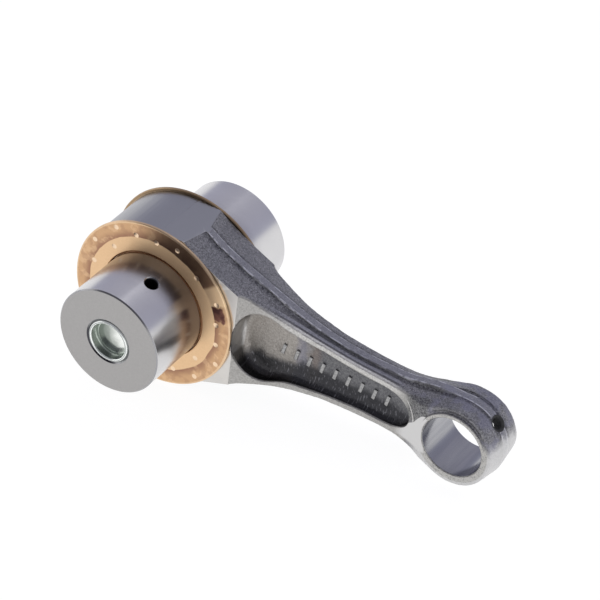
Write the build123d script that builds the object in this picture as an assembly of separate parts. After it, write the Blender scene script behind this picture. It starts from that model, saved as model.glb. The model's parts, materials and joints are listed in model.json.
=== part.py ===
"""Connecting rod of a single-cylinder four-stroke engine, with its pressed crank pin and big-end bearing.

Rod frame while modelling: the crank pin's axis is Y, the rod runs from the big end at the
origin to the small end at +X, and Z lies across the beam. At the end every piece is turned
about Y by the rest angle, so that the thrust washers and the small end lie on one level
surface, and is moved so that the origin is the centre of the piston pin bore.
"""
from build123d import *
from math import asin, cos, degrees, radians, sin
import os

# Driving dimensions, in millimetres
ROD_LENGTH = 100.0            # big-end centre to small-end centre
PIN_TRACK_RADIUS = 17.1       # the ground track that the rollers run on
PIN_END_RADIUS = 17.05        # the ends that are pressed into the crank webs
PIN_LENGTH = 65.9
PIN_CENTRE_Y = 0.35           # the pin has slid a little to the +Y side of the rod
PIN_RELIEF_DEPTH = 0.3        # grinding grooves at the ends of the track, under the washers
PIN_RELIEF_WIDTH = 0.95
PIN_RELIEF_REACH = 0.15       # how far the grooves show past the washers
ROLLER_DIAMETER = 4.0
ROLLER_COUNT = 16
ROLLER_LENGTH = 14.4
ROLLER_PLAY = 0.05            # radial clearance at each side of a roller
BIG_END_RADIUS = 26.0
BIG_END_HALF_WIDTH = 9.5
BIG_END_FLAT = 26.15          # half the distance between the ground flats beside the beam
SMALL_BORE_RADIUS = 9.5
SMALL_END_HALF_WIDTH = 7.85
SMALL_END_CROWN = 13.3        # outer radius of the small end at the parting plane
WASHER_RADIUS = 27.0
WASHER_THICKNESS = 1.0
WASHER_SIDE_PLAY = 0.1
WASHER_BORE_PLAY = 0.25

# Values that follow from them
PITCH_RADIUS = PIN_TRACK_RADIUS + ROLLER_DIAMETER / 2
RACE_RADIUS = PIN_TRACK_RADIUS + ROLLER_DIAMETER
ROLLER_RADIUS = ROLLER_DIAMETER / 2 - ROLLER_PLAY
WASHER_INNER_Y = BIG_END_HALF_WIDTH + WASHER_SIDE_PLAY
WASHER_OUTER_Y = WASHER_INNER_Y + WASHER_THICKNESS
PIN_NEAR_Y = PIN_CENTRE_Y - PIN_LENGTH / 2
PIN_FAR_Y = PIN_CENTRE_Y + PIN_LENGTH / 2
REST_ANGLE = degrees(asin((WASHER_RADIUS - SMALL_END_CROWN) / ROD_LENGTH))

# The forging
DRAFT_DEPTH = 10.5            # distance from the parting plane to the outer draft outline
PARTING_SIDE = [(0, 33.5), (9.6, 26.3), (17, 22.1), (28, 18.0), (40, 14.0), (52, 10.8), (66, 9.3), (82, 10.2)]
OUTER_SIDE = [(0, 31.5), (7.3, 26.2), (16, 21.2), (28, 16.0), (40, 11.2), (52, 9.1), (66, 7.4), (82, 6.0)]
PARTING_JOIN = 100            # angle on the eye at which the sides run into it
OUTER_JOIN = 124
EYE_DRAFT = 1.4               # how much smaller the eye is at the draft depth
TRIM_HALF_WIDTH = 1.3         # the trimmed flash line that runs along both sides
TRIM_HEIGHT = 0.4
CREASE_X = 27.3               # where the machined big-end face meets the forged beam
WEB_HALF = 2.2                # half thickness of the web between the two pockets
POCKET_FLOOR_RADIUS = 2.4
BORE_CHAMFER = 0.35
EYE_LAND_RADIUS = 10.8        # the flat ring round the piston pin bore
EYE_SLOPE = 6.0               # fall of the forged skin away from that ring, in degrees

# Generic raised bars on the pocket floor
MARK_COUNT = 9
MARK_START_X = 40.5
MARK_PITCH = 4.4
MARK_LENGTH = 3.8
MARK_WIDTH = 1.2
MARK_HEIGHT = 0.6

# Oil ways
GALLERY_RADIUS = 5.5
GALLERY_DEPTH = 42.0
DRILL_POINT = 3.2
PIN_FEED_RADIUS = 2.0
PIN_FEED_Y = -20.1
PIN_FEED_ANGLE = 73.0
TRACK_FEED_RADIUS = 1.5
TRACK_FEED_ANGLE = 140.0
EYE_FEED_RADIUS = 1.7
EYE_FEED_ANGLE = 44.0
EYE_FEED_CHAMFER = 0.8
HOLE_CHAMFER = 0.45

# The pressed plug in the pin's gallery
PLUG_RADIUS = 6.7
PLUG_DEPTH = 4.0
PLUG_WALL = 0.9
PLUG_PROUD = 0.2
PLUG_SEAT_CHAMFER = 0.7

# The cage
CAGE_HALF_WIDTH = 9.2
CAGE_HALF_WALL = 1.3
CAGE_POCKET_PLAY = 0.12
CAGE_POCKET_SIDE_PLAY = 0.2

# Oil dimples on the washers: angle either side of the pattern's axis, and radius
DIMPLE_AXIS = 50.5
DIMPLES = [(0, 21.8), (23.6, 24.0), (41, 22.2), (59, 22.7), (74.6, 25.3), (86.6, 20.0),
           (98.8, 24.9), (115.7, 21.7), (149, 24.2), (167, 22.4)]
DIMPLE_RADIUS = 0.85
DIMPLE_DEPTH = 0.18


def across(radius, low, high):
    """A round bar on the Y axis from low to high."""
    bar = Rot(90, 0, 0) * Cylinder(radius, high - low)
    return Pos(0, (low + high) / 2, 0) * bar


def turned(points):
    """A solid of revolution about Y from (radius, y) corners."""
    section = make_face(Polyline(*[(r, y, 0) for r, y in points], close=True))
    return revolve(section, axis=Axis.Y)


def radial_hole(radius, angle, surface_radius, depth, chamfer=HOLE_CHAMFER):
    """A cutter for a hole drilled towards the Y axis, with a countersunk mouth."""
    reach = 2.0
    drill = Cylinder(radius, depth + reach, align=(Align.CENTER, Align.CENTER, Align.MAX))
    drill = Pos(0, 0, surface_radius + reach) * drill
    sink = Cone(radius, radius + chamfer + reach, chamfer + reach,
                align=(Align.CENTER, Align.CENTER, Align.MIN))
    sink = Pos(0, 0, surface_radius - chamfer) * sink
    return Rot(0, 90 - angle, 0) * (drill + sink)


def forging_outline(side, eye_radius, join_angle, y):
    """The closed outline of the forging at one height above its parting plane.

    side holds the (x, z) points of the upper edge. The lower edge mirrors it, and an arc
    about the small-end centre closes the outline.
    """
    join = radians(join_angle)
    join_x = ROD_LENGTH + eye_radius * cos(join)
    join_z = eye_radius * sin(join)
    upper_points = [(x, y, z) for x, z in side] + [(join_x, y, join_z)]
    lower_points = [(px, py, -pz) for px, py, pz in upper_points]
    start = (side[1][0] - side[0][0], 0, side[1][1] - side[0][1])
    mirrored_start = (start[0], 0, -start[2])
    upper = Spline(*upper_points, tangents=[start, (sin(join), 0, -cos(join))])
    lower = Spline(*lower_points, tangents=[mirrored_start, (sin(join), 0, cos(join))])
    nose = ThreePointArc(upper_points[-1], (ROD_LENGTH + eye_radius, y, 0), lower_points[-1])
    heel = Line(lower_points[0], upper_points[0])
    return make_face([upper, nose, lower, heel])


def drafted_blank():
    """Both halves of the forging before its faces are shaped."""
    parting = forging_outline(PARTING_SIDE, SMALL_END_CROWN, PARTING_JOIN, 0)
    outer = forging_outline(OUTER_SIDE, SMALL_END_CROWN - EYE_DRAFT, OUTER_JOIN, -DRAFT_DEPTH)
    near_half = loft([parting, outer], ruled=True)
    far_half = mirror(near_half, Plane.XZ)
    return near_half + far_half


def trim_line():
    """The raised strip left where the flash was trimmed. It fades out on the small end."""
    raised = [(x, z + TRIM_HEIGHT) for x, z in PARTING_SIDE]
    face = forging_outline(raised, SMALL_END_CROWN - TRIM_HEIGHT, 88, 0)
    return extrude(face, TRIM_HALF_WIDTH, both=True)


def thickness_profile():
    """The rod seen along Z: thick at both ends and slim along the beam."""
    ramp = [(CREASE_X, BIG_END_HALF_WIDTH), (29.2, 8.3), (33, 7.35), (38, 6.4), (45, 5.4), (54, 4.8), (66, 4.65)]
    rise = [(66, 4.65), (76, 4.75), (84, 5.7), (90.5, SMALL_END_HALF_WIDTH)]
    heel_x = -30
    nose_x = ROD_LENGTH + 20

    def half(sign):
        fall = Spline(*[(x, sign * y, 0) for x, y in ramp], tangents=[(1, -0.9 * sign, 0), (1, 0, 0)])
        climb = Spline(*[(x, sign * y, 0) for x, y in rise], tangents=[(1, 0, 0), (1, 0.42 * sign, 0)])
        back = Line((heel_x, sign * BIG_END_HALF_WIDTH, 0), fall @ 0)
        front = Line(climb @ 1, (nose_x, sign * SMALL_END_HALF_WIDTH, 0))
        return [back, fall, climb, front]

    heel = Line((heel_x, -BIG_END_HALF_WIDTH, 0), (heel_x, BIG_END_HALF_WIDTH, 0))
    nose = Line((nose_x, -SMALL_END_HALF_WIDTH, 0), (nose_x, SMALL_END_HALF_WIDTH, 0))
    face = make_face(half(1) + half(-1) + [heel, nose])
    return extrude(face, 40, both=True)


def pocket():
    """The long hollow in the -Y face of the beam, with a rounded floor edge."""
    heel_x = 26.6
    mouth_y = -12.0
    side = [(27.5, 5.6), (30.5, 10.3), (35, 11.9), (42, 9.7), (50, 8.2), (60, 7.05), (72, 6.3), (80, 5.5)]
    nose = (84.0, 2.5)
    upper = [(x, mouth_y, z) for x, z in side + [nose]]
    lower = [(x, mouth_y, -z) for x, z in [nose] + side[::-1]]
    outline = Spline((heel_x, mouth_y, 0), *upper, *lower, periodic=True)
    cutter = extrude(make_face(outline), -mouth_y - WEB_HALF, dir=(0, 1, 0))
    floor = cutter.faces().sort_by(Axis.Y)[-1]
    return fillet(floor.edges(), POCKET_FLOOR_RADIUS)


def pocket_marks():
    """A row of plain raised bars on the near pocket's floor."""
    root = 0.5
    bar = Box(MARK_WIDTH, MARK_HEIGHT + root, MARK_LENGTH)
    bar = fillet(bar.edges().filter_by(Axis.Y), MARK_WIDTH * 0.4)
    middle_y = -WEB_HALF - (MARK_HEIGHT - root) / 2
    return [Pos(MARK_START_X + i * MARK_PITCH, middle_y, 0) * Rot(0, 12, 0) * bar for i in range(MARK_COUNT)]


def eye_relief():
    """A cutter that drops the forged skin above the flat ring on the near side of the eye."""
    size = 30.0
    wedge = Box(size, size, size, align=(Align.CENTER, Align.MAX, Align.MIN))
    wedge = Pos(0, -SMALL_END_HALF_WIDTH, 0) * Rot(-EYE_SLOPE, 0, 0) * wedge
    wedge &= Pos(0, 0, size / 2) * Box(size, 3 * size, size)
    return Pos(ROD_LENGTH, 0, 0) * (wedge - across(EYE_LAND_RADIUS, -2 * size, 2 * size))


def chamfered_bore(radius, half_width):
    """A cutter for a bore along Y with a chamfer at each mouth."""
    beyond = 5.0
    mouth = radius + BORE_CHAMFER
    corners = [(0, -half_width - beyond), (mouth, -half_width - beyond), (mouth, -half_width),
               (radius, -half_width + BORE_CHAMFER), (radius, half_width - BORE_CHAMFER),
               (mouth, half_width), (mouth, half_width + beyond), (0, half_width + beyond)]
    return turned(corners)


def connecting_rod():
    """The one-piece forged and machined rod."""
    rod = drafted_blank() & thickness_profile()
    rod += trim_line()
    rod &= Box(ROD_LENGTH + 60, 60, 2 * BIG_END_FLAT, align=(Align.MIN, Align.CENTER, Align.CENTER))
    rod += across(BIG_END_RADIUS, -BIG_END_HALF_WIDTH, BIG_END_HALF_WIDTH)
    near_pocket = pocket()
    near_relief = eye_relief()
    rod -= [near_pocket, mirror(near_pocket, Plane.XZ)]
    rod -= [near_relief, mirror(near_relief, Plane.XZ)]
    rod += pocket_marks()
    rod -= chamfered_bore(RACE_RADIUS, BIG_END_HALF_WIDTH)
    rod -= Pos(ROD_LENGTH, 0, 0) * chamfered_bore(SMALL_BORE_RADIUS, SMALL_END_HALF_WIDTH)
    feed_depth = SMALL_END_CROWN - SMALL_BORE_RADIUS + 2
    feed = radial_hole(EYE_FEED_RADIUS, EYE_FEED_ANGLE, SMALL_END_CROWN, feed_depth, EYE_FEED_CHAMFER)
    rod -= Pos(ROD_LENGTH, 0, 0) * feed
    return rod


def crank_pin():
    """The crank pin, with its blind oil gallery, two feed holes and the plug's seat."""
    chamfer = 0.4
    relief_outer = WASHER_OUTER_Y + PIN_RELIEF_REACH
    relief_inner = relief_outer - PIN_RELIEF_WIDTH
    relief_radius = PIN_END_RADIUS - PIN_RELIEF_DEPTH
    track = [(PIN_END_RADIUS, relief_outer), (relief_radius, relief_outer), (relief_radius, relief_inner),
             (PIN_TRACK_RADIUS, relief_inner)]
    corners = [(0, PIN_NEAR_Y), (PIN_END_RADIUS - chamfer, PIN_NEAR_Y), (PIN_END_RADIUS, PIN_NEAR_Y + chamfer)]
    corners += [(radius, -y) for radius, y in track] + track[::-1]
    corners += [(PIN_END_RADIUS, PIN_FAR_Y - chamfer), (PIN_END_RADIUS - chamfer, PIN_FAR_Y), (0, PIN_FAR_Y)]
    pin = turned(corners)
    gallery_end = PIN_NEAR_Y + GALLERY_DEPTH
    seat_end = PIN_NEAR_Y + PLUG_DEPTH + 1
    mouth = PLUG_RADIUS + PLUG_SEAT_CHAMFER
    pin -= turned([(0, PIN_NEAR_Y - 1), (mouth, PIN_NEAR_Y - 1), (mouth, PIN_NEAR_Y),
                   (PLUG_RADIUS, PIN_NEAR_Y + PLUG_SEAT_CHAMFER), (PLUG_RADIUS, seat_end),
                   (GALLERY_RADIUS, seat_end), (GALLERY_RADIUS, gallery_end), (0, gallery_end + DRILL_POINT)])
    web_feed = radial_hole(PIN_FEED_RADIUS, PIN_FEED_ANGLE, PIN_END_RADIUS, PIN_END_RADIUS)
    pin -= Pos(0, PIN_FEED_Y, 0) * web_feed
    pin -= radial_hole(TRACK_FEED_RADIUS, TRACK_FEED_ANGLE, PIN_TRACK_RADIUS, PIN_TRACK_RADIUS)
    return pin


def oil_plug():
    """The thin pressed cup that closes the gallery, with a rolled lip and a domed bottom."""
    lip_y = PIN_NEAR_Y - PLUG_PROUD
    end_y = lip_y + PLUG_DEPTH
    bore = PLUG_RADIUS - PLUG_WALL
    lip = PLUG_WALL / 2
    dome = 0.9
    corner = 1.1
    turn_back = corner * (1 - cos(radians(45)))
    floor_y = end_y - PLUG_WALL
    profile = [
        Line((PLUG_RADIUS, lip_y + lip, 0), (PLUG_RADIUS, end_y - corner, 0)),
        ThreePointArc((PLUG_RADIUS, end_y - corner, 0), (PLUG_RADIUS - turn_back, end_y - turn_back, 0),
                      (PLUG_RADIUS - corner, end_y, 0)),
        Line((PLUG_RADIUS - corner, end_y, 0), (0, end_y, 0)),
        Line((0, end_y, 0), (0, floor_y - dome, 0)),
        ThreePointArc((0, floor_y - dome, 0), (bore * 0.55, floor_y - dome * 0.66, 0), (bore, floor_y, 0)),
        Line((bore, floor_y, 0), (bore, lip_y + lip, 0)),
        ThreePointArc((bore, lip_y + lip, 0), (bore + lip, lip_y, 0), (PLUG_RADIUS, lip_y + lip, 0)),
    ]
    return revolve(make_face(profile), axis=Axis.Y)


def roller(index):
    """One bearing roller on the pitch circle."""
    chamfer = 0.3
    half = ROLLER_LENGTH / 2
    body = turned([(0, -half), (ROLLER_RADIUS - chamfer, -half), (ROLLER_RADIUS, -half + chamfer),
                   (ROLLER_RADIUS, half - chamfer), (ROLLER_RADIUS - chamfer, half), (0, half)])
    angle = radians(360 / ROLLER_COUNT * index)
    return Pos(PITCH_RADIUS * cos(angle), 0, PITCH_RADIUS * sin(angle)) * body


def bearing_cage():
    """The machined cage that spaces the rollers."""
    chamfer = 0.3
    inner = PITCH_RADIUS - CAGE_HALF_WALL
    outer = PITCH_RADIUS + CAGE_HALF_WALL
    edge = CAGE_HALF_WIDTH
    cage = turned([(inner, -edge), (outer - chamfer, -edge), (outer, -edge + chamfer), (outer, edge - chamfer),
                   (outer - chamfer, edge), (inner, edge)])
    slot_half = ROLLER_LENGTH / 2 + CAGE_POCKET_SIDE_PLAY
    slot = across(ROLLER_RADIUS + CAGE_POCKET_PLAY, -slot_half, slot_half)
    for index in range(ROLLER_COUNT):
        angle = radians(360 / ROLLER_COUNT * index)
        cage -= Pos(PITCH_RADIUS * cos(angle), 0, PITCH_RADIUS * sin(angle)) * slot
    return cage


def thrust_washer(side):
    """A plated thrust washer with oil dimples. side is -1 for the -Y washer and 1 for the +Y one."""
    edge = 0.2
    inner = PIN_TRACK_RADIUS + WASHER_BORE_PLAY
    low = WASHER_INNER_Y
    high = WASHER_OUTER_Y
    washer = turned([(inner + edge, low), (WASHER_RADIUS - edge, low), (WASHER_RADIUS, low + edge),
                     (WASHER_RADIUS, high - edge), (WASHER_RADIUS - edge, high), (inner + edge, high),
                     (inner, high - edge), (inner, low + edge)])
    ball_radius = (DIMPLE_RADIUS ** 2 + DIMPLE_DEPTH ** 2) / (2 * DIMPLE_DEPTH)
    dimples = []
    for offset, radius in DIMPLES:
        for angle in sorted({DIMPLE_AXIS + offset, DIMPLE_AXIS - offset}):
            x = radius * cos(radians(angle))
            z = radius * sin(radians(angle))
            dimples.append(Pos(x, high + ball_radius - DIMPLE_DEPTH, z) * Sphere(ball_radius))
    washer -= dimples
    return washer if side > 0 else mirror(washer, Plane.XZ)


def all_pieces():
    """Every piece by its node name, in the rod frame."""
    pieces = {
        "connecting_rod": connecting_rod(),
        "crank_pin": crank_pin(),
        "oil_plug": oil_plug(),
        "bearing_cage": bearing_cage(),
        "thrust_washer_near": thrust_washer(-1),
        "thrust_washer_far": thrust_washer(1),
    }
    for index in range(ROLLER_COUNT):
        pieces[f"roller_{index + 1:02d}"] = roller(index)
    return pieces


def main():
    """Lay the assembly down at its rest angle and write one STEP file per piece."""
    os.makedirs("parts", exist_ok=True)
    lie_down = Rot(0, REST_ANGLE, 0) * Pos(-ROD_LENGTH, 0, 0)
    for name, piece in all_pieces().items():
        export_step(lie_down * piece, f"parts/{name}.step")


if __name__ == "__main__":
    main()
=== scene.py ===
"""Looks of the connecting rod assembly: surface finishes, the softened forging, studio and camera."""
import json

import bmesh
import bpy
import numpy as np
from math import atan2, cos, hypot, pi, radians, sin
from mathutils import Matrix, Vector


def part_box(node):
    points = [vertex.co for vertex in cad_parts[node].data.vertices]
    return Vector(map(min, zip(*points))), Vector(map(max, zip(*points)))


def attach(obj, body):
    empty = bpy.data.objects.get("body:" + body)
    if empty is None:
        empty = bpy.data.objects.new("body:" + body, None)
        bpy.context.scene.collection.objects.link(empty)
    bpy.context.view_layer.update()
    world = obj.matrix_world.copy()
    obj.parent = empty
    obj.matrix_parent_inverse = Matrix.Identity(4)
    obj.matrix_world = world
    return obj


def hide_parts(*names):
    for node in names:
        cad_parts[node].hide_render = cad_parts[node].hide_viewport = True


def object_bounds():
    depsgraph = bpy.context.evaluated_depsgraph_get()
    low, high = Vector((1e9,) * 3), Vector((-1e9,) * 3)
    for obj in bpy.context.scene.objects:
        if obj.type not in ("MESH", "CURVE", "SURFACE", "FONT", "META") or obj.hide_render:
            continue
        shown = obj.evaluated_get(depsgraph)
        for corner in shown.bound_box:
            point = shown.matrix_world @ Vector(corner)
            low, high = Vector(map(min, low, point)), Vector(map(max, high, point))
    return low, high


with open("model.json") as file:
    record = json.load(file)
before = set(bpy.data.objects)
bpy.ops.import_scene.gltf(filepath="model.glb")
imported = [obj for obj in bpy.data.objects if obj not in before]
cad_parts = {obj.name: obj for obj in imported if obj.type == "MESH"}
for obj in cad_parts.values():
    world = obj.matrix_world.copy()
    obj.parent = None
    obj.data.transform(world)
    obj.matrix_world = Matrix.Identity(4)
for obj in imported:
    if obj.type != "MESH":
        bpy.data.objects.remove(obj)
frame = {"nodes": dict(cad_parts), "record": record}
CAD_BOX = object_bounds()

MM = 0.001

# The rod's own frame: the crank pin's centre is the origin, X runs to the small end and Z is across the beam
PIN_LOW, PIN_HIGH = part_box("crank_pin")
BIG_END = Vector(((PIN_LOW.x + PIN_HIGH.x) / 2, 0, (PIN_LOW.z + PIN_HIGH.z) / 2))
ROD_LENGTH = hypot(BIG_END.x, BIG_END.z) / MM
REST_ANGLE = atan2(BIG_END.z, -BIG_END.x)
PIN_NEAR_Y = PIN_LOW.y / MM
PIN_FAR_Y = PIN_HIGH.y / MM
PIN_RADIUS = (PIN_HIGH.z - PIN_LOW.z) / 2 / MM
WASHER_FACE = -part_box("thrust_washer_near")[0].y / MM
FLOOR_Z = CAD_BOX[0].z

# The forging, in millimetres in the rod's own frame
BIG_END_HALF_WIDTH = 9.5
BIG_END_RADIUS = 26.0
BIG_END_FLAT = 26.15
CREASE_X = 27.3
BIG_END_INSIDE = 21.5
EYE_BORE = 9.5
EYE_LAND = 10.8
EYE_HALF_WIDTH = 7.85
TRIM_HALF_WIDTH = 1.3
POCKET_END = 86.0
OIL_HOLE_ANGLE = radians(44)
OIL_HOLE_RADIUS = 1.7
OIL_HOLE_CHAMFER = 0.8
BORE_CHAMFER = 0.35
EYE_CROWN = 13.3
MARK_COUNT = 9
MARK_START = 40.5
MARK_PITCH = 4.4
MARK_LENGTH = 3.8
MARK_WIDTH = 1.2
MARK_TOP = 2.85
MARK_FOOT = 1.0
MARK_TILT = radians(12)
MARK_EDGE = 0.28

# Lines along the rod, as (distance along, value) points, and the range of the values
FACE_HEIGHT = [(27.3, 9.5), (29.2, 8.2), (33, 7.35), (38, 6.4), (45, 5.4), (54, 4.8), (66, 4.65), (76, 4.75),
               (84, 5.7), (90.5, 7.85)]
FACE_SPAN = (4.0, 10.0)
POCKET_EDGE = [(24, 12.0), (30.5, 11.6), (35, 12.1), (42, 9.9), (50, 8.4), (60, 7.25), (72, 6.5), (84, 5.6)]
POCKET_EDGE_SPAN = (5.0, 13.0)
SHADE_MIDDLE = [(26, -9.0), (30, -6.5), (34, -5.0), (42, -4.0), (50, -1.2), (62, -0.6), (84, -0.4)]
SHADE_MIDDLE_SPAN = (-9.0, 0.0)
PATCH_TOP = [(82, -4.5), (85, -0.6), (86.4, 0.8), (88, 3.3), (89.8, 5.3), (92, 5.2)]
PATCH_TOP_SPAN = (-5.0, 7.0)

# How the forging's mesh is made. Sizes in millimetres, rounds of smoothing by vertex group (no name is all),
# relief as (name, cloud size, depth, height), and the share of the triangles that stays
VOXEL = 0.2
SMOOTHING_ROUNDS = [("", 2), ("forged", 24), ("hollow", 260)]
SKIN_RELIEF = [("skin_waves", 3.0, 2, 0.10), ("skin_dents", 0.9, 1, 0.05)]
EYE_SWELL = 0.45
KEPT_TRIANGLES = 0.22
SHARP_ANGLE = radians(38)

# Radii on the plug, its seat and the washers, in millimetres
PLUG_SHOULDER = 5.3
PLUG_LIP = 5.8
PLUG_LIP_SHADE = 6.27
PLUG_SEAT = 7.5
BROWN_LINE = 22.0
WASHER_RIM = 26.4


# ---------------------------------------------------------------- material helpers

# A Mix node's input numbers for factor, first and second, and its output's number, by kind of value
MIX_SOCKETS = {"FLOAT": ((0, 2, 3), 0), "RGBA": ((0, 6, 7), 2)}


class Finish:
    """One node material, with short calls that add nodes to it."""

    def __init__(self, name, metallic=1.0):
        self.material = bpy.data.materials.new(name)
        self.material.use_nodes = True
        tree = self.material.node_tree
        self.nodes = tree.nodes
        self.links = tree.links
        self.shader = tree.nodes["Principled BSDF"]
        self.shader.inputs["Metallic"].default_value = metallic

    def feed(self, socket, value):
        """Links an output to a socket, or sets its value."""
        if isinstance(value, bpy.types.NodeSocket):
            self.links.new(value, socket)
        elif isinstance(value, tuple):
            socket.default_value = (*value, 1.0)
        else:
            socket.default_value = value

    def math(self, operation, *values, clamp=False):
        node = self.nodes.new("ShaderNodeMath")
        node.operation = operation
        node.use_clamp = clamp
        for socket, value in zip(node.inputs, values):
            self.feed(socket, value)
        return node.outputs[0]

    def plus(self, first, second):
        return self.math("ADD", first, second)

    def minus(self, first, second):
        return self.math("SUBTRACT", first, second)

    def times(self, first, second):
        return self.math("MULTIPLY", first, second)

    def absolute(self, value):
        return self.math("ABSOLUTE", value)

    def inverse(self, mask):
        """Zero where a mask is one, and one where it is zero."""
        return self.math("SUBTRACT", 1.0, mask)

    def rise(self, value, low, high):
        """Goes smoothly from 0 at low to 1 at high. Low may be the larger number."""
        node = self.nodes.new("ShaderNodeMapRange")
        node.interpolation_type = "SMOOTHSTEP"
        for name, item in zip(("Value", "From Min", "From Max"), (value, low, high)):
            self.feed(node.inputs[name], item)
        return node.outputs[0]

    def band(self, value, low, high, blend=0.15):
        """One between low and high, with soft ends."""
        after_low = self.rise(value, low - blend, low + blend)
        return self.times(after_low, self.rise(value, high + blend, high - blend))

    def noise(self, coords, scale, detail, roughness=0.5):
        node = self.nodes.new("ShaderNodeTexNoise")
        self.feed(node.inputs["Vector"], coords)
        node.inputs["Scale"].default_value = scale
        node.inputs["Detail"].default_value = detail
        node.inputs["Roughness"].default_value = roughness
        return node.outputs["Fac"]

    def wander(self, coords, scale, detail, size):
        """Noise that wanders to both sides of zero, over a range of about size."""
        return self.times(self.minus(self.noise(coords, scale, detail), 0.5), size)

    def mix_node(self, kind, *values):
        """A Mix node for one kind of value: factor, first, second."""
        node = self.nodes.new("ShaderNodeMix")
        node.data_type = kind
        inputs, output = MIX_SOCKETS[kind]
        for index, value in zip(inputs, values):
            self.feed(node.inputs[index], value)
        return node.outputs[output]

    def mix(self, factor, first, second):
        """A colour that goes from first to second."""
        return self.mix_node("RGBA", factor, first, second)

    def between(self, factor, first, second):
        """A number that goes from first to second."""
        return self.mix_node("FLOAT", factor, first, second)

    def curve(self, value, points, span):
        """A smooth curve through (value, result) points. span is (low, high) of the results."""
        low_x, high_x = points[0][0], points[-1][0]
        node = self.nodes.new("ShaderNodeFloatCurve")
        line = node.mapping.curves[0]
        spots = [((x - low_x) / (high_x - low_x), (y - span[0]) / (span[1] - span[0])) for x, y in points]
        for spot in spots[1:-1]:
            line.points.new(*spot)
        line.points[0].location = spots[0]
        line.points[len(spots) - 1].location = spots[-1]
        node.mapping.update()
        scaled = self.math("DIVIDE", self.minus(value, low_x), high_x - low_x, clamp=True)
        self.feed(node.inputs["Value"], scaled)
        return self.plus(self.times(node.outputs[0], span[1] - span[0]), span[0])

    def combine(self, x, y, z):
        node = self.nodes.new("ShaderNodeCombineXYZ")
        for socket, value in zip(node.inputs, (x, y, z)):
            self.feed(socket, value)
        return node.outputs[0]

    def rod_frame(self):
        """Position in the rod's own frame in millimetres, as a vector and as x, y and z."""
        coords = self.nodes.new("ShaderNodeTexCoord")
        mapping = self.nodes.new("ShaderNodeMapping")
        mapping.inputs["Rotation"].default_value = (0, -REST_ANGLE, 0)
        mapping.inputs["Scale"].default_value = (1 / MM,) * 3
        mapping.inputs["Location"].default_value = (ROD_LENGTH, 0, 0)
        self.links.new(coords.outputs["Object"], mapping.inputs["Vector"])
        split = self.nodes.new("ShaderNodeSeparateXYZ")
        self.links.new(mapping.outputs[0], split.inputs[0])
        return mapping.outputs[0], *split.outputs

    def squared(self, value):
        return self.math("POWER", value, 2.0)

    def radius(self, x, z, centre_x=0.0):
        """Distance from an axis at centre_x."""
        shifted = self.minus(x, centre_x)
        return self.math("SQRT", self.plus(self.squared(shifted), self.squared(z)))

    def every(self, *masks):
        """The product of several masks."""
        result = masks[0]
        for mask in masks[1:]:
            result = self.times(result, mask)
        return result

    def either(self, *masks):
        """The highest of several masks."""
        result = masks[0]
        for mask in masks[1:]:
            result = self.math("MAXIMUM", result, mask)
        return result

    def bump(self, height, distance):
        """Relief whose height is in units of distance, in millimetres."""
        node = self.nodes.new("ShaderNodeBump")
        node.inputs["Distance"].default_value = distance * MM
        self.feed(node.inputs["Height"], height)
        return node.outputs[0]

    def paint(self, under, mask, strength, over):
        """Lays a colour over another, as strongly as the mask and the strength say."""
        return self.mix(self.times(mask, strength), under, over)

    def mottled(self, noise, low, high, dark, light):
        """Dark where the noise is under low, and light where it is over high."""
        return self.mix(self.rise(noise, low, high), dark, light)

    def finish(self, colour, roughness, normal=None):
        self.feed(self.shader.inputs["Base Color"], colour)
        self.feed(self.shader.inputs["Roughness"], roughness)
        if normal is not None:
            self.feed(self.shader.inputs["Normal"], normal)
        return self.material


# ---------------------------------------------------------------- finishes

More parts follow.
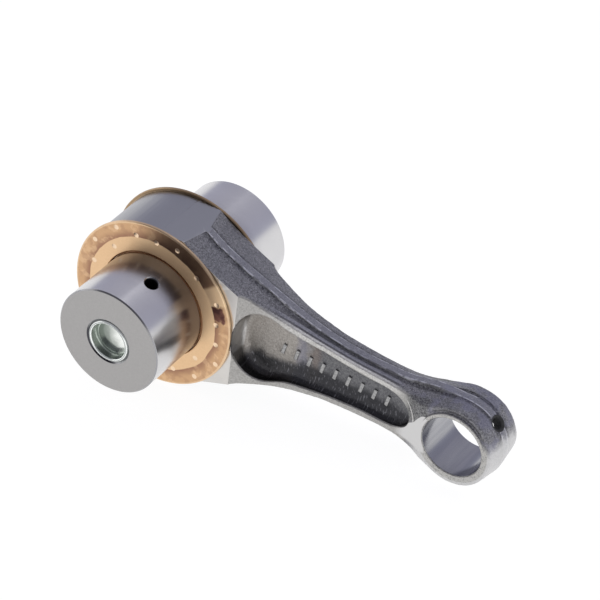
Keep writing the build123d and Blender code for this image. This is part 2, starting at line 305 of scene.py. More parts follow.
def rod_finish():
    """Forged skin with ground faces, a ground border, a honed eye bore and a bright patch beside the eye."""
    f = Finish("rod_steel")
    p, x, y, z = f.rod_frame()
    width = f.absolute(y)
    height = f.absolute(z)
    near = f.rise(y, 0.5, -0.5)
    depth = f.minus(f.curve(x, FACE_HEIGHT, FACE_SPAN), width)
    grain = f.noise(p, 1.9, 3, 0.7)
    border, bores, ground = machined_masks(f, x, z, width, height)
    pocket, shade, face, outer = pocket_masks(f, p, x, z, height, depth, near)
    rim, rim_shadow, rim_highlight_line = rim_masks(f, x, z, depth, near, outer)
    patch, ramp, land, light_side, tint = eye_masks(f, p, x, z, width, pocket)
    trim, crease, trim_edge = trim_masks(f, p, width, f.either(pocket, face, ramp, land, ground))
    hole = oil_hole_mask(f, x, y, z)

    skin = skin_colour(f, p, grain, tint)
    skin = f.paint(skin, trim, 0.4, (0.34, 0.34, 0.39))
    flecked = f.between(f.rise(f.noise(p, 1.4, 3), 0.4, 0.55), 0.85, 0.3)
    # painted shade: the crease beside the trim line is darkened
    skin = f.mix(f.times(crease, flecked), skin, (0.06, 0.06, 0.07))
    # the light line on the trim's edge: partly edge wear, partly painted highlight
    skin = f.paint(skin, trim_edge, 0.85, (0.66, 0.66, 0.72))
    skin = f.paint(skin, light_side, 0.8, f.mix(grain, (0.62, 0.615, 0.61), (0.86, 0.855, 0.85)))
    skin = f.paint(skin, face, 0.9, f.mottled(grain, 0.3, 0.7, (0.36, 0.35, 0.335), (0.52, 0.51, 0.49)))
    skin = f.paint(skin, ramp, 0.85, ramp_colour(f, p))
    # painted shadows and a painted highlight line along the near pocket's upper rim
    skin = f.paint(skin, rim_shadow, 0.6, (0.09, 0.09, 0.1))
    skin = f.paint(skin, rim_highlight_line, 0.5, f.mix(grain, (0.3, 0.3, 0.36), (0.48, 0.48, 0.54)))
    # painted highlight on the pocket's rounded upper rim and nose edge
    skin = f.mix(rim, skin, f.mottled(grain, 0.3, 0.65, (0.46, 0.45, 0.435), (0.68, 0.67, 0.655)))
    skin = f.mix(pocket, skin, pocket_colour(f, p, x, z, grain, shade))
    speckled = f.mottled(f.noise(p, 2.6, 2), 0.5, 0.72, (0.53, 0.52, 0.5), (0.26, 0.26, 0.26))
    skin = f.mix(land, skin, speckled)
    skin = f.mix(patch, skin, (0.62, 0.615, 0.61))
    colour = f.mix(ground, skin, ground_colour(f, p, x, y, z, border, bores))
    # painted shade: the oil hole's inside is dark and dull, with no specular glint
    colour = f.mix(hole, colour, f.mix(grain, (0.05, 0.05, 0.05), (0.1, 0.1, 0.1)))
    f.feed(f.shader.inputs["Metallic"], f.inverse(hole))
    f.shader.inputs["Specular IOR Level"].default_value = 0.0

    skin_rough = f.between(patch, f.between(grain, 0.4, 0.58), 0.33)
    skin_rough = f.between(pocket, skin_rough, 0.38)
    ground_rough = f.between(bores, f.between(border, 0.3, 0.34), 0.2)
    roughness = f.between(hole, f.between(ground, skin_rough, ground_rough), 0.7)
    coarse = f.inverse(f.either(ground, f.times(patch, 0.9)))
    smoother = f.between(f.either(face, pocket, rim), 1.0, 0.45)
    peened = f.every(f.noise(p, 2.0, 2, 0.6), coarse, smoother)
    ridge = f.times(coarse, f.minus(f.times(trim_edge, 0.6), crease))
    relief = f.bump(f.plus(peened, f.times(ridge, 0.5)), 0.32)
    return f.finish(colour, roughness, relief)


def machined_masks(f, x, z, width, height):
    """The big end's ground border, the two bores, and all machined surfaces together."""
    big_radius = f.radius(x, z)
    eye_radius = f.radius(x, z, ROD_LENGTH)
    big_face = f.every(f.rise(width, BIG_END_HALF_WIDTH - 0.12, BIG_END_HALF_WIDTH - 0.05),
                       f.rise(x, CREASE_X + 0.2, CREASE_X))
    on_cylinder = f.rise(f.absolute(f.minus(big_radius, BIG_END_RADIUS)), 0.09, 0.05)
    on_flat = f.rise(height, BIG_END_FLAT - 0.12, BIG_END_FLAT - 0.06)
    border = f.either(on_cylinder, on_flat)
    bores = f.either(f.rise(eye_radius, EYE_BORE + 0.16, EYE_BORE + 0.1),
                     f.rise(big_radius, BIG_END_INSIDE + 0.1, BIG_END_INSIDE))
    return border, bores, f.either(big_face, border, bores)


def pocket_masks(f, p, x, z, height, depth, near):
    """The pocket's hollow, the painted shade over its lower part, the forged face round it, and the outside
    of its edge.
    """
    inside = f.minus(f.curve(x, POCKET_EDGE, POCKET_EDGE_SPAN), height)
    along = f.every(f.rise(x, 25.5, 26.5), f.rise(x, POCKET_END, POCKET_END - 0.5))
    pocket = f.every(f.rise(inside, -0.35, 0.05), f.rise(depth, 0.25, 0.8), along)
    # painted shade over the pocket's lower part, below a wavy middle line
    middle = f.curve(x, SHADE_MIDDLE, SHADE_MIDDLE_SPAN)
    shade = f.rise(f.plus(f.minus(z, middle), f.wander(p, 0.25, 3, 4.0)), 1.6, -1.8)
    face_depth = f.rise(depth, f.between(near, 0.3, 0.8), f.between(near, 0.05, 0.35))
    face = f.every(face_depth, f.rise(x, CREASE_X - 0.2, CREASE_X + 0.2),
                   f.rise(x, POCKET_END, POCKET_END - 3))
    outer = f.every(f.rise(inside, -0.1, -0.45), near)
    return pocket, shade, face, outer


def rim_masks(f, x, z, depth, near, outer):
    """The near pocket's upper rim: a painted highlight along its rounded edge and at the pocket's nose, then
    a painted shadow, a painted highlight line and a wider painted shadow.
    """
    upper = f.every(outer, f.rise(x, 30, 46), f.rise(x, 83, 77), f.rise(z, -2, 2))
    bright = f.times(upper, f.rise(depth, 1.05, 0.8))
    shadow = f.either(f.band(depth, 0.95, 1.6), f.band(depth, 2.5, 3.6))
    light_line = f.times(upper, f.band(depth, 1.6, 2.5))
    nose_x = f.minus(POCKET_END + 0.3, f.times(f.squared(z), 0.075))
    # painted highlight along the pocket's nose edge
    nose_highlight = f.every(f.band(f.minus(x, nose_x), -0.15, 0.35, 0.1), f.band(z, -2.5, 6.5, 0.5), near)
    return f.either(bright, nose_highlight), f.times(upper, shadow), light_line


def skin_colour(f, p, grain, tint):
    """The forged skin: grey grain with light sparkles, wide darker clouds and blue tints."""
    sparkle = f.rise(f.noise(p, 3.1, 1), 0.52, 0.7)
    skin = f.mottled(grain, 0.3, 0.7, (0.125, 0.123, 0.135), (0.34, 0.337, 0.352))
    skin = f.paint(skin, sparkle, 0.5, (0.52, 0.52, 0.55))
    skin = f.paint(skin, f.rise(f.noise(p, 0.16, 3), 0.35, 0.7), 0.25, (0.2, 0.2, 0.22))
    return f.paint(skin, tint, 0.35, (0.27, 0.27, 0.38))


def ground_colour(f, p, x, y, z, border, bores):
    """The ground faces, the greyer border and the honed bores with fine streaks along their axis."""
    polished = f.mix(f.noise(p, 0.25, 2), (0.6, 0.585, 0.565), (0.7, 0.675, 0.645))
    polished = f.mix(border, polished, (0.355, 0.358, 0.38))
    streaks = f.noise(f.combine(f.times(x, 0.6), f.times(y, 0.05), f.times(z, 0.6)), 1.0, 3)
    honed = f.mottled(streaks, 0.35, 0.65, (0.335, 0.338, 0.362), (0.385, 0.386, 0.405))
    return f.mix(bores, polished, honed)


def pocket_colour(f, p, x, z, grain, shade):
    """Warm grey at the big end, cooler and darker along the beam, and near black painted shade in the lower
    part.
    """
    lit = f.mottled(grain, 0.35, 0.65, (0.29, 0.27, 0.25), (0.4, 0.375, 0.35))
    cool = f.mottled(grain, 0.3, 0.7, (0.1, 0.1, 0.11), (0.2, 0.2, 0.205))
    further = f.rise(f.plus(x, f.times(f.noise(p, 0.3, 2), 6.0)), 46.0, 56.0)
    colour = f.mix(further, lit, cool)
    wavy = f.plus(x, f.wander(p, 0.35, 2, 4.0))
    colour = f.paint(colour, f.band(wavy, 45.0, 48.2, 1.2), 0.3, (0.1, 0.12, 0.25))
    colour = f.paint(colour, f.band(wavy, 49.5, 52.5, 1.2), 0.3, (0.22, 0.15, 0.11))
    big_end_wall = f.every(f.rise(x, 27.8, 27.2), f.rise(z, -6.0, -4.5))
    colour = f.mix(big_end_wall, colour, f.mix(grain, (0.6, 0.585, 0.565), (0.76, 0.745, 0.725)))
    scratch = f.noise(f.combine(f.times(x, 2.2), 0.0, f.times(z, 0.5)), 1.0, 2)
    dark = f.mottled(scratch, 0.56, 0.72, (0.045, 0.045, 0.05), (0.2, 0.2, 0.22))
    return f.paint(colour, shade, 0.93, dark)


def eye_masks(f, p, x, z, width, pocket):
    """At the eye: the bright patch, the dark ramp above it, the flat ring, the light side and blue tints."""
    eye_radius = f.radius(x, z, ROD_LENGTH)
    ragged = f.wander(p, 0.35, 1, 1.2)
    top = f.curve(x, PATCH_TOP, PATCH_TOP_SPAN)
    below_top = f.rise(f.minus(f.plus(top, ragged), z), -0.12, 0.12)
    patch = f.every(below_top, f.rise(x, 79, 84), f.rise(f.plus(x, ragged), 92.2, 91.2),
                    f.rise(width, 4.4, 4.9), f.rise(z, -7.5, -6.5),
                    f.rise(eye_radius, EYE_BORE + 0.3, EYE_BORE + 0.45))
    edge = f.plus(x, f.times(f.noise(p, 0.5, 2), 3.0))
    ramp = f.every(f.rise(edge, 83.5, 86.0), f.rise(x, 92, 90.0), f.rise(z, -1.0, 2.0),
                   f.rise(width, 4.4, 5.2), f.inverse(patch))
    land = f.every(f.rise(eye_radius, EYE_LAND + 0.9, EYE_LAND + 0.5), f.rise(width, 7.3, 7.5))
    angle = f.math("ARCTAN2", z, f.minus(x, ROD_LENGTH))
    low_side = f.rise(f.plus(angle, f.wander(p, 0.3, 3, 0.7)), radians(34), radians(8))
    light_side = f.every(low_side, f.rise(x, 84, 90), f.inverse(pocket))
    tint = f.every(f.rise(x, 80, 92), f.rise(f.noise(p, 0.22, 2), 0.45, 0.62), f.rise(z, 2.0, 5.0))
    return patch, ramp, land, light_side, tint


def ramp_colour(f, p):
    """Coarse dark speckle on the slope up to the eye."""
    return f.mottled(f.noise(p, 2.0, 3, 0.7), 0.36, 0.66, (0.07, 0.07, 0.072), (0.32, 0.32, 0.315))


def trim_masks(f, p, width, elsewhere):
    """The trimmed flash line, painted shade in the crease beside it, and a broken light line on its edge
    that is partly edge wear and partly painted highlight.
    """
    free = f.inverse(elsewhere)
    off = f.minus(f.plus(width, f.wander(p, 0.25, 2, 0.5)), TRIM_HALF_WIDTH)
    trim = f.every(f.rise(off, 0.1, -0.1), free)
    crease = f.every(f.rise(off, 0.0, 0.25), f.rise(off, 1.7, 0.4), free)
    broken = f.rise(f.noise(p, 0.5, 3), 0.4, 0.55)
    line = f.rise(f.absolute(f.plus(off, 0.16)), 0.3, 0.1)
    return trim, crease, f.every(line, broken, free)


def oil_hole_mask(f, x, y, z):
    """The inside of the eye's oil hole, which is painted dark as shade."""
    along_x = f.times(f.minus(x, ROD_LENGTH), -sin(OIL_HOLE_ANGLE))
    side = f.plus(along_x, f.times(z, cos(OIL_HOLE_ANGLE)))
    off_axis = f.radius(side, y)
    upper = f.every(f.rise(x, ROD_LENGTH + 2, ROD_LENGTH + 3), f.rise(z, 2, 3))
    outside_bore = f.rise(f.radius(x, z, ROD_LENGTH), EYE_BORE + 0.15, EYE_BORE + 0.4)
    mouth = OIL_HOLE_RADIUS + OIL_HOLE_CHAMFER
    return f.every(f.rise(off_axis, mouth + 0.15, mouth - 0.05), upper, outside_bore)


def pin_finish():
    """Ground pin with dull turned ends, a painted dark reflection of the washers beside them, painted shade
    in the oil holes, a darker plug seat with painted shade on one side, and painted light in the grooves by
    the washers.
    """
    f = Finish("crank_pin_steel")
    p, x, y, z = f.rod_frame()
    radius = f.radius(x, z)
    angle = f.math("ARCTAN2", z, x)
    end_face = f.either(f.rise(y, PIN_NEAR_Y + 0.05, PIN_NEAR_Y + 0.02),
                        f.rise(y, PIN_FAR_Y - 0.05, PIN_FAR_Y - 0.02))
    near_end = f.either(f.rise(y, PIN_NEAR_Y + 0.9, PIN_NEAR_Y + 0.8),
                        f.rise(y, PIN_FAR_Y - 0.9, PIN_FAR_Y - 0.8))
    edge = f.every(f.rise(radius, PIN_RADIUS - 0.46, PIN_RADIUS - 0.42),
                   f.rise(radius, PIN_RADIUS - 0.06, PIN_RADIUS - 0.1), near_end)
    seat = f.every(f.rise(radius, PLUG_SEAT, PLUG_SEAT - 0.1), f.rise(y, 0.0, -1.0))
    hole = f.every(f.rise(radius, PIN_RADIUS - 0.1, PIN_RADIUS - 0.35), f.inverse(near_end))
    grind = f.noise(f.combine(f.times(angle, 0.6), f.times(y, 5.0), 0.0), 3.0, 3, 0.6)
    fine = f.noise(p, 2.5, 3)
    bright = f.mix(f.noise(p, 0.12, 3), (0.6, 0.595, 0.605), (0.7, 0.69, 0.69))
    bright = f.paint(bright, f.rise(grind, 0.45, 0.75), 0.25, (0.5, 0.495, 0.51))
    dull = f.mix(fine, (0.37, 0.362, 0.356), (0.45, 0.44, 0.432))
    colour = f.mix(end_face, bright, dull)
    # painted reflection: the pin darkens beside each washer, more on the near side and over one sector
    off_washer = f.minus(f.absolute(y), WASHER_FACE)
    by_washer = f.every(f.rise(off_washer, 13.0, 5.0), f.inverse(end_face))
    right_side = f.every(f.rise(angle, radians(-25), radians(5)), f.rise(angle, radians(75), radians(35)))
    washer_reflection_shade = f.between(f.rise(y, 0.0, -1.0), 0.4, f.between(right_side, 0.6, 0.95))
    colour = f.mix(f.times(by_washer, washer_reflection_shade), colour, (0.13, 0.12, 0.135))
    colour = f.mix(f.either(edge, seat), colour, (0.36, 0.36, 0.37))
    # painted shade on the lower-left side of the plug seat
    colour = f.mix(f.every(seat, f.rise(f.plus(x, z), -2.0, -7.0)), colour, (0.07, 0.07, 0.08))
    # painted shade inside the oil holes and their chamfers
    colour = f.mix(hole, colour, (0.06, 0.06, 0.065))
    # painted light: copper colour lightens the shaded groove beside each washer
    colour = f.mix(f.rise(off_washer, 0.4, 0.2), colour, (0.66, 0.47, 0.33))
    roughness = f.between(f.either(end_face, hole), f.between(grind, 0.18, 0.27), 0.46)
    rings = f.noise(f.combine(f.times(radius, 3.0), 0.0, 0.0), 2.0, 2)
    relief = f.bump(f.between(end_face, grind, f.plus(rings, fine)), 0.004)
    return f.finish(colour, roughness, relief)


def plug_finish():
    """Bright zinc with a faint green tint, painted shade across the dome away from the small end, a painted
    highlight on the shoulder and a painted shade line on the lip.
    """
    f = Finish("plug_zinc")
    p, x, _, z = f.rod_frame()
    radius = f.radius(x, z)
    mottle = f.noise(p, 0.5, 2, 0.5)
    fine = f.noise(p, 4.0, 2)
    lip = f.rise(radius, PLUG_LIP - 0.05, PLUG_LIP + 0.05)
    lip_shade_line = f.rise(f.absolute(f.minus(radius, PLUG_LIP_SHADE)), 0.13, 0.07)
    wall = f.every(f.rise(radius, 5.55, 5.7), f.rise(radius, 5.9, 5.8))
    shoulder = f.rise(f.absolute(f.minus(radius, PLUG_SHOULDER)), 0.22, 0.08)
    # painted shade: the dome darkens away from the small end
    across_dome = f.plus(f.plus(x, f.times(z, 0.5)), f.times(mottle, 3.0))
    colour = f.mottled(across_dome, -0.5, 5.5, (0.27, 0.3, 0.27), (0.9, 0.92, 0.88))
    colour = f.mix(wall, colour, f.mix(fine, (0.3, 0.35, 0.31), (0.44, 0.49, 0.44)))
    # painted highlight along the shoulder at the foot of the wall
    colour = f.mix(shoulder, colour, (0.86, 0.9, 0.86))
    colour = f.mix(lip, colour, (0.9, 0.93, 0.9))
    # painted shade line splitting the lip's highlight in two
    colour = f.mix(lip_shade_line, colour, (0.25, 0.27, 0.27))
    relief = f.bump(f.plus(mottle, f.times(fine, 0.1)), 0.05)
    return f.finish(colour, f.between(fine, 0.16, 0.28), relief)


def washer_finish():
    """Copper-bronze plating: a worn tan land inside, browned beyond a wavy line, and painted highlights on
    the dimples and rim.

    The far washer is darker, as painted shade.
    """
    f = Finish("washer_copper")
    p, x, y, z = f.rod_frame()
    radius = f.radius(x, z)
    angle = f.math("ARCTAN2", z, x)
    mottle = f.noise(p, 0.3, 3, 0.55)
    fine = f.noise(p, 2.4, 3, 0.6)
    beyond = f.minus(f.plus(radius, f.wander(p, 0.12, 2, 1.6)), BROWN_LINE)
    clean = f.rise(f.absolute(f.minus(angle, radians(33))), radians(6), radians(9))
    browned = f.times(f.rise(beyond, -0.12, 0.12), clean)
    by_pin = f.every(f.rise(angle, radians(-15), radians(15)), f.rise(angle, radians(120), radians(85)))
    land = f.mix(fine, (0.72, 0.48, 0.275), (0.86, 0.59, 0.35))
    # painted light: the land is brighter beside the pin
    land = f.mix(by_pin, land, (1.0, 0.72, 0.44))
    fade = f.rise(f.plus(beyond, f.times(mottle, 1.6)), 0.4, 3.6)
    brown = f.mix(fade, (0.34, 0.18, 0.115), (0.62, 0.385, 0.215))
    brown = f.paint(brown, f.rise(mottle, 0.5, 0.6), 0.5, (0.8, 0.54, 0.32))
    brown = f.paint(brown, f.rise(f.noise(p, 0.45, 3), 0.5, 0.6), 0.35, (0.4, 0.22, 0.14))
    # a darker brown sector of the outer land
    dark_sector = f.every(f.rise(angle, radians(36), radians(44)), f.rise(angle, radians(112), radians(78)))
    brown = f.paint(brown, dark_sector, 0.8, f.mix(fine, (0.12, 0.07, 0.05), (0.2, 0.125, 0.085)))
    colour = f.mix(browned, land, brown)
    stained = f.mottled(mottle, 0.35, 0.65, (0.1, 0.045, 0.04), (0.22, 0.1, 0.075))
    colour = f.mix(stain(f, p, radius, angle), colour, stained)
    # painted highlight on the washers' rim chamfer
    colour = f.paint(colour, f.rise(radius, WASHER_RIM - 0.1, WASHER_RIM + 0.2), 0.55, (0.9, 0.68, 0.44))
    depth = f.minus(WASHER_FACE, f.absolute(y))
    dimple = f.every(f.rise(depth, 0.01, 0.03), f.rise(radius, WASHER_RIM, WASHER_RIM - 0.1),
                     f.rise(radius, 18.0, 18.2))
    # painted highlight in the dimples
    colour = f.mix(dimple, colour, (0.9, 0.68, 0.47))
    # painted shade: the far washer is darker
    colour = f.paint(colour, f.rise(y, 0.0, 5.0), 0.6, (0.17, 0.115, 0.06))
    worn = f.between(f.every(by_pin, f.rise(radius, 22.2, 21.8)), f.between(mottle, 0.28, 0.4), 0.5)
    return f.finish(colour, f.between(dimple, worn, 0.3), f.bump(fine, 0.012))


def stain(f, p, radius, angle):
    """A dark stain with a ragged edge on the outer land of the washers."""
    ragged = f.wander(p, 0.5, 3, 0.16)
    from_middle = f.absolute(f.minus(angle, radians(19.5)))
    across = f.rise(f.plus(from_middle, ragged), radians(6.2), radians(4.6))
    outside = f.rise(f.plus(radius, f.times(ragged, 12.0)), 26.0, 25.3)
    return f.every(across, f.rise(radius, 21.7, 21.95), outside)


def mark_finish():
    """The worn tops of the raised marks."""
    f = Finish("mark_steel")
    grain = f.noise(f.rod_frame()[0], 2.0, 3, 0.7)
    colour = f.mottled(grain, 0.3, 0.7, (0.26, 0.26, 0.265), (0.46, 0.455, 0.45))
    return f.finish(colour, f.between(grain, 0.32, 0.5), f.bump(grain, 0.06))


def bearing_finish(name, dark, light):
    """Plain bearing parts, mostly hidden behind the washers."""
    f = Finish(name)
    p = f.rod_frame()[0]
    fine = f.noise(p, 3.0, 2)
    return f.finish(f.mix(f.noise(p, 0.5, 3), dark, light), f.between(fine, 0.18, 0.32), f.bump(fine, 0.01))


# ---------------------------------------------------------------- the softened forging

def rod_coordinates(mesh):
    """Vertex positions in the rod's own frame, in millimetres."""
    points = np.empty(len(mesh.vertices) * 3)
    mesh.vertices.foreach_get("co", points)
    points = points.reshape(-1, 3) - np.array(BIG_END)
    x = points[:, 0] * cos(REST_ANGLE) - points[:, 2] * sin(REST_ANGLE)
    z = points[:, 0] * sin(REST_ANGLE) + points[:, 2] * cos(REST_ANGLE)
    return x / MM, points[:, 1] / MM, z / MM


def ramp_up(values, low, high):
    """Goes straight from 0 at low to 1 at high."""
    return np.clip((values - low) / (high - low), 0, 1)


def softness(x, y, z):
    """How far each point's edges are rounded, from 0 on machined surfaces to 1 on the forged rims."""
    width = np.abs(y)
    height = np.abs(z)
    big_radius = np.hypot(x, z)
    eye_x = x - ROD_LENGTH
    eye_radius = np.hypot(eye_x, z)
    soft = np.ones(len(x))
    outside = height > np.interp(x, *zip(*POCKET_EDGE)) + 1.5
    by_trim = width < TRIM_HALF_WIDTH + 1.1
    soft[by_trim & outside] = 0.3
    land = ramp_up(np.abs(eye_radius - EYE_LAND), 0.3, 1.0)
    soft = np.where(width > EYE_HALF_WIDTH - 2.5, np.minimum(soft, 0.25 + 0.75 * land), soft)
    soft *= ramp_up(eye_radius, EYE_BORE + 0.6, EYE_BORE + 1.2)
    past_crease = ramp_up(x, CREASE_X + 0.1, CREASE_X + 1.0)
    below_face = ramp_up(BIG_END_HALF_WIDTH - width, 0.15, 0.6)
    soft *= np.maximum(past_crease, below_face)
    off_border = np.minimum(ramp_up(np.abs(big_radius - BIG_END_RADIUS), 0.15, 0.6),
                            ramp_up(BIG_END_FLAT - height, 0.15, 0.6))
    soft *= off_border * (big_radius > BIG_END_RADIUS - 0.05)
    hole = np.hypot(y, z * cos(OIL_HOLE_ANGLE) - eye_x * sin(OIL_HOLE_ANGLE))
    mouth = OIL_HOLE_RADIUS + OIL_HOLE_CHAMFER
    beside_hole = ramp_up(hole, mouth + 0.2, mouth + 0.9)
    soft *= np.where((eye_x > 0) & (z > 0), beside_hole, 1)
    soft[x > POCKET_END - 2] *= 0.8
    return soft


def eye_flank(x, z):
    """The two sides of the eye, from 0 to 1."""
    eye_radius = np.hypot(x - ROD_LENGTH, z)
    off_land = ramp_up(eye_radius, EYE_LAND + 0.3, EYE_LAND + 1.2)
    return ramp_up(x, 80, 88) * ramp_up(np.abs(z), 5, 10) * off_land


def hollow(x, y, z):
    """How far each point lies inside the pocket, from 0 at its rim to 1 on its floor."""
    edge = np.interp(x, *zip(*POCKET_EDGE))
    face = np.interp(x, *zip(*FACE_HEIGHT))
    inside = ramp_up(edge - np.abs(z), -0.2, 1.8)
    deep = ramp_up(face - np.abs(y), 0.4, 2.0)
    return inside * deep * ramp_up(x, 28.5, 31.0) * ramp_up(POCKET_END - 2 - x, 0.0, 2.5)


def weight_group(piece, name, weights):
    """A vertex group with weights in equal steps."""
    step_count = 20
    group = piece.vertex_groups.new(name=name)
    steps = np.round(weights * step_count).astype(int)
    for step in np.unique(steps):
        group.add(np.flatnonzero(steps == step).tolist(), step / step_count, "REPLACE")


def linked(name, data):
    """A new object in the scene."""
    thing = bpy.data.objects.new(name, data)
    bpy.context.scene.collection.objects.link(thing)
    return thing


def baked(piece):
    """Replaces a piece's mesh with what its modifiers make of it."""
    mesh = bpy.data.meshes.new_from_object(piece.evaluated_get(bpy.context.evaluated_depsgraph_get()))
    piece.modifiers.clear()
    piece.vertex_groups.clear()
    piece.data = mesh


def smoothed(piece, group, rounds):
    """Evens the mesh out, over a vertex group or, with no name, all over."""
    modifier = piece.modifiers.new("smooth", "SMOOTH")
    modifier.factor = 0.5
    modifier.iterations = rounds
    modifier.vertex_group = group


def displaced(piece, group, name, middle, height_mm):
    """Moves a vertex group out along its normals."""
    modifier = piece.modifiers.new(name, "DISPLACE")
    modifier.mid_level = middle
    modifier.strength = height_mm * MM
    modifier.vertex_group = group
    return modifier


def uneven(piece, name, size_mm, depth, height_mm):
    """Gives the forged skin a low random relief."""
    texture = bpy.data.textures.new(name, "CLOUDS")
    texture.noise_scale = size_mm * MM
    texture.noise_depth = depth
    modifier = displaced(piece, "forged", name, 0.5, height_mm)
    modifier.texture = texture
    modifier.texture_coords = "LOCAL"


def forged_rod():
    """The rod with rounded forged edges and a slightly uneven skin. Machined surfaces keep their shape."""
    source = frame["nodes"]["connecting_rod"]
    piece = linked("rod_forging", source.data.copy())
    remesh = piece.modifiers.new("remesh", "REMESH")
    remesh.mode = "VOXEL"
    remesh.voxel_size = VOXEL * MM
    baked(piece)
    soften(piece, source)
    for cutter in (face_cutter(-1), face_cutter(1), bore_cutter(), oil_hole_cutter()):
        cut(piece, cutter)
    piece.data.shade_smooth()
    piece.data.set_sharp_from_angle(angle=SHARP_ANGLE)
    weighted = piece.modifiers.new("normals", "WEIGHTED_NORMAL")
    weighted.keep_sharp = True
    baked(piece)
    piece.data.materials.clear()
    piece.data.materials.append(rod_finish())
    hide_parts("connecting_rod")
    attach(piece, body_of("connecting_rod"))


def soften(piece, source):
    """Rounds the forged edges and hollows, puts machined surfaces back on the CAD's, and thins the mesh."""
    x, y, z = rod_coordinates(piece.data)
    soft = softness(x, y, z)
    weight_group(piece, "forged", soft)
    weight_group(piece, "machined", np.clip(1 - soft * 3, 0, 1))
    weight_group(piece, "hollow", hollow(x, y, z))
    weight_group(piece, "eye_flank", eye_flank(x, z) * soft)
    for group, rounds in SMOOTHING_ROUNDS:
        smoothed(piece, group, rounds)
    displaced(piece, "eye_flank", "eye_flank", 0.0, EYE_SWELL)
    for relief in SKIN_RELIEF:
        uneven(piece, *relief)
    wrap = piece.modifiers.new("wrap", "SHRINKWRAP")
    wrap.target = source
    wrap.wrap_method = "NEAREST_SURFACEPOINT"
    wrap.vertex_group = "machined"
    thin = piece.modifiers.new("thin", "DECIMATE")
    thin.ratio = KEPT_TRIANGLES
    baked(piece)


def lathe(name, profile, centre, axis, steps=192):
    """A closed solid of revolution from (radius, distance along the axis) points, in the rod's frame."""
    turn = Matrix.Rotation(REST_ANGLE, 4, "Y")
    place = Matrix.Translation(BIG_END) @ turn @ Matrix.Translation(Vector(centre) * MM)
    place @= Vector((0, 0, 1)).rotation_difference(Vector(axis)).to_matrix().to_4x4()
    vertices = []
    for step in range(steps):
        angle = 2 * pi * step / steps
        vertices += [place @ (Vector((r * cos(angle), r * sin(angle), d)) * MM) for r, d in profile]
    rows = len(profile)
    faces = []
    for step in range(steps):
        following = (step + 1) % steps
        for row in range(rows - 1):
            low, high = step * rows + row, following * rows + row
            faces.append((low, high, high + 1, low + 1))
    faces.append([step * rows for step in reversed(range(steps))])
    faces.append([step * rows + rows - 1 for step in range(steps)])
    mesh = bpy.data.meshes.new(name)
    mesh.from_pydata(vertices, [], faces)
    return linked(name, mesh)


def bore_cutter():
    """The eye's bore with its chamfers, a hair larger than the CAD's so that it cuts a clean wall."""
    radius = EYE_BORE + 0.05
    mouth = EYE_HALF_WIDTH - BORE_CHAMFER
    beyond = 3.0
    flare = BORE_CHAMFER + beyond
    profile = [(radius + flare, -mouth - flare), (radius, -mouth), (radius, mouth),
               (radius + flare, mouth + flare)]
    return lathe("bore_cutter", profile, (ROD_LENGTH, 0, 0), (0, 1, 0))


def face_cutter(side):
    """A disc that trims the ring round the eye's bore flat."""
    face = EYE_HALF_WIDTH - 0.03
    radius = 15.0
    thickness = 3.0
    profile = [(radius, face), (radius, face + thickness)]
    return lathe("face_cutter", profile, (ROD_LENGTH, 0, 0), (0, side, 0))


def oil_hole_cutter():
    """The eye's oil hole, narrower near the bore and with a countersink outside."""
    radius = OIL_HOLE_RADIUS + 0.04
    narrow = radius - 0.45
    sink = OIL_HOLE_CHAMFER
    beyond = 1.0
    profile = [(narrow, EYE_BORE - 1.5), (narrow, EYE_BORE + 1.2), (radius, EYE_BORE + 1.6),
               (radius, EYE_CROWN - sink), (radius + sink + beyond, EYE_CROWN + beyond)]
    axis = (cos(OIL_HOLE_ANGLE), 0, sin(OIL_HOLE_ANGLE))
    return lathe("oil_hole_cutter", profile, (ROD_LENGTH, 0, 0), axis, 96)


def cut(piece, cutter):
    """Takes a cutter out of a piece, and removes the cutter."""
    modifier = piece.modifiers.new("cut", "BOOLEAN")
    modifier.operation = "DIFFERENCE"
    modifier.solver = "MANIFOLD"
    modifier.object = cutter
    baked(piece)
    bpy.data.objects.remove(cutter)


def pocket_marks():
    """Nine plain raised bars with rounded edges on the near pocket's floor."""
    work = bmesh.new()
    tilt = Matrix.Rotation(MARK_TILT, 4, "Y")
    height = MARK_TOP - MARK_FOOT
    size = Matrix.Diagonal((MARK_WIDTH * MM, height * MM, MARK_LENGTH * MM, 1))
    for number in range(MARK_COUNT):
        along = MARK_START + number * MARK_PITCH
        place = Matrix.Translation(Vector((along, -MARK_FOOT - height / 2, 0)) * MM)
        bmesh.ops.create_cube(work, size=1.0, matrix=place @ tilt @ size)
    bmesh.ops.bevel(work, geom=work.edges[:], offset=MARK_EDGE * MM, segments=3, profile=0.6, affect="EDGES")
    turn = Matrix.Translation(BIG_END) @ Matrix.Rotation(REST_ANGLE, 4, "Y")
    bmesh.ops.transform(work, matrix=turn, verts=work.verts)
    mesh = bpy.data.meshes.new("pocket_marks")
    work.to_mesh(mesh)
    work.free()
    mesh.shade_smooth()
    mesh.materials.append(mark_finish())
    piece = linked("pocket_marks", mesh)
    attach(piece, body_of("connecting_rod"))


def body_of(node):
    """The body that a CAD node belongs to."""
    bodies = frame["record"]["behaviour"]["bodies"]
    return next(body for body, nodes in bodies.items() if node in nodes)


def dress(node, material):
    """Gives a CAD node its finish."""
    slots = frame["nodes"][node].data.materials
    for index in range(len(slots)):
        slots[index] = material


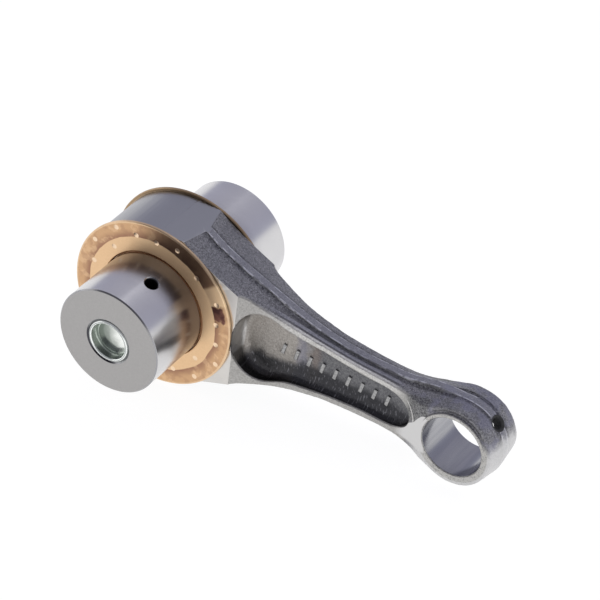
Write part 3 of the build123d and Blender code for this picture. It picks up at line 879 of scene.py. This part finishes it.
def dress_nodes():
    """Finishes for every CAD node that keeps its own mesh."""
    copper = washer_finish()
    rollers = bearing_finish("roller_steel", (0.5, 0.5, 0.52), (0.62, 0.62, 0.63))
    finishes = {
        "crank_pin": pin_finish(),
        "oil_plug": plug_finish(),
        "thrust_washer_near": copper,
        "thrust_washer_far": copper,
        "bearing_cage": bearing_finish("cage_bronze_steel", (0.36, 0.36, 0.37), (0.5, 0.5, 0.5)),
    }
    for node in frame["nodes"]:
        if node.startswith("roller_"):
            dress(node, rollers)
        elif node in finishes:
            dress(node, finishes[node])


# ---------------------------------------------------------------- studio

# The sky's colours, as (sine of the height above the horizon, colour) stops
SKY_BEHIND = [(0.0, (1.0, 1.0, 1.0)), (0.1, (0.98, 0.98, 1.0)), (0.2, (0.46, 0.47, 0.58)),
              (0.5, (0.47, 0.47, 0.57)), (1.0, (0.5, 0.5, 0.57))]
SKY_FRONT = [(0.0, (1.0, 1.0, 1.0)), (0.12, (0.98, 0.98, 1.0)), (0.3, (0.22, 0.22, 0.25)),
             (0.7, (0.13, 0.13, 0.15)), (1.0, (0.5, 0.5, 0.57))]

# The reference view. Angles in degrees, distances in metres from the crank pin's centre
CAMERA_AZIMUTH = 33.690
CAMERA_ELEVATION = 35.191
CAMERA_ROLL = -1.009
CAMERA_DISTANCE = 1.03235
CAMERA_RIGHT = 0.036807
CAMERA_DOWN = 0.004133
CAMERA_LENS = 213.17


def studio_floor():
    """A large pale sweep under the object."""
    half = 6.0
    mesh = bpy.data.meshes.new("floor")
    corners = [(x * half, y * half, FLOOR_Z) for x, y in ((-1, -1), (1, -1), (1, 1), (-1, 1))]
    mesh.from_pydata(corners, [], [(0, 1, 2, 3)])
    f = Finish("floor_white", metallic=0.0)
    coords = f.nodes.new("ShaderNodeTexCoord").outputs["Object"]
    cloud = f.noise(coords, 2.0, 2)
    f.shader.inputs["Emission Color"].default_value = (1, 1, 1, 1)
    f.shader.inputs["Emission Strength"].default_value = 0.92
    f.shader.inputs["Specular IOR Level"].default_value = 0.0
    mesh.materials.append(f.finish(f.mix(cloud, (0.19, 0.19, 0.19), (0.21, 0.21, 0.21)), 0.9))
    linked("floor", mesh)


def sky_band(tree, height, stops):
    """A colour for each height of a direction, from (height, colour) stops."""
    ramp = tree.nodes.new("ShaderNodeValToRGB")
    tree.links.new(height, ramp.inputs["Fac"])
    elements = ramp.color_ramp.elements
    while len(elements) < len(stops):
        elements.new(0.5)
    for element, (position, colour) in zip(elements, stops):
        element.position = position
        element.color = (*colour, 1)
    return ramp.outputs["Color"]


def studio_world():
    """White at and below the horizon. Above it, cool grey behind the object and darker in front of it."""
    world = bpy.data.worlds.new("studio")
    bpy.context.scene.world = world
    world.use_nodes = True
    tree = world.node_tree
    coords = tree.nodes.new("ShaderNodeTexCoord")
    split = tree.nodes.new("ShaderNodeSeparateXYZ")
    tree.links.new(coords.outputs["Generated"], split.inputs[0])
    behind = sky_band(tree, split.outputs["Z"], SKY_BEHIND)
    front = sky_band(tree, split.outputs["Z"], SKY_FRONT)
    side = tree.nodes.new("ShaderNodeMapRange")
    side.interpolation_type = "SMOOTHSTEP"
    tree.links.new(split.outputs["Y"], side.inputs["Value"])
    side.inputs["From Min"].default_value = -0.5
    side.inputs["From Max"].default_value = 0.1
    mix = tree.nodes.new("ShaderNodeMix")
    mix.data_type = "RGBA"
    inputs, output = MIX_SOCKETS["RGBA"]
    for index, value in zip(inputs, (side.outputs[0], front, behind)):
        tree.links.new(value, mix.inputs[index])
    tree.links.new(mix.outputs[output], tree.nodes["Background"].inputs["Color"])


def soft_light(name, place, size, power, tint):
    """A square soft box that faces the object."""
    data = bpy.data.lights.new(name, "AREA")
    data.size = size
    data.energy = power
    data.color = tint
    light = linked(name, data)
    light.location = place
    middle = (CAD_BOX[0] + CAD_BOX[1]) / 2
    light.rotation_euler = (middle - light.location).to_track_quat("-Z", "Y").to_euler()


def studio_lights():
    """A warm light low on the left and a white one above."""
    soft_light("left_light", Vector((-2.2, -0.6, 1.0)), 1.2, 4.0, (1.0, 0.98, 0.95))
    soft_light("top_light", Vector((0.2, 0.6, 2.2)), 1.6, 5.0, (1, 1, 1))


def photo_camera():
    """The camera at the reference view: direction, roll and distance from the crank pin's centre."""
    azimuth = radians(CAMERA_AZIMUTH)
    elevation = radians(CAMERA_ELEVATION)
    roll = radians(CAMERA_ROLL)
    back = Vector((sin(azimuth) * cos(elevation), -cos(azimuth) * cos(elevation), sin(elevation)))
    level = Vector((cos(azimuth), sin(azimuth), 0))
    upright = back.cross(level)
    right = level * cos(roll) + upright * sin(roll)
    up = upright * cos(roll) - level * sin(roll)
    data = bpy.data.cameras.new("camera")
    data.lens = CAMERA_LENS
    data.sensor_width = 36.0
    data.clip_start = 0.01
    data.clip_end = 50.0
    camera = linked("camera", data)
    place = BIG_END + back * CAMERA_DISTANCE + right * CAMERA_RIGHT - up * CAMERA_DOWN
    turn = Matrix((right, up, back)).transposed().to_4x4()
    camera.matrix_world = Matrix.Translation(place) @ turn
    bpy.context.scene.camera = camera


def main():
    forged_rod()
    pocket_marks()
    dress_nodes()
    studio_floor()
    studio_world()
    studio_lights()
    photo_camera()
    bpy.context.scene.view_settings.view_transform = "Standard"


main()
